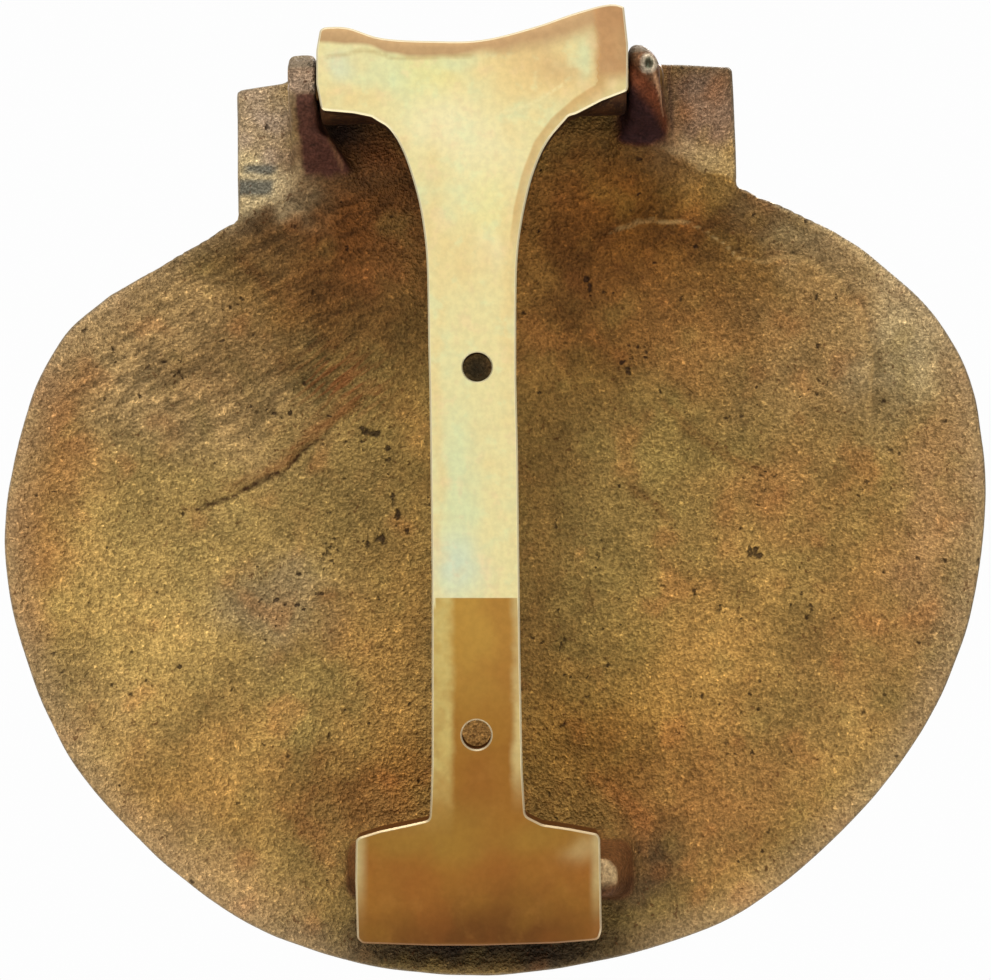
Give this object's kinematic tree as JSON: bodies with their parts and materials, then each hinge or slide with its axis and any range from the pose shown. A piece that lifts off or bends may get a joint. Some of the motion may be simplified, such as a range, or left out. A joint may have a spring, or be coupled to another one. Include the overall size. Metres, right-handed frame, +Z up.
{
  "type": "door knocker",
  "caption": "Scallop-shell door knocker that swings on a pin in front of a cast bracket, whose back face screws to a door and whose foot takes the strike.",
  "frame": {"origin": "on the bracket's flat door face, midway between its two fixing holes", "axes": "+Z up, +Y out of the door face towards the door, +X to the right of a visitor who faces the knocker; the shell is on the -Y side"},
  "size_m": [0.1782, 0.0333, 0.1727],
  "materials": {
    "cast_brass": "rough sand-cast brass with a dark golden-brown patina",
    "ground_brass": "ground and lightly polished brass with bright edges",
    "pin_brass": "drawn brass rod, slightly tarnished"
  },
  "bodies": {
    "bracket": {"mounting_bracket": "ground_brass"},
    "knocker": {"scallop_shell": "cast_brass", "hinge_pin": "pin_brass"}
  },
  "joints": [
    {"name": "knocker_swing", "type": "hinge", "parent": "bracket", "child": "knocker", "pos_m": [0, -0.007, 0.0825], "axis": [-0.9994, 0, 0.0349], "range_deg": [0, 65]}
  ]
}
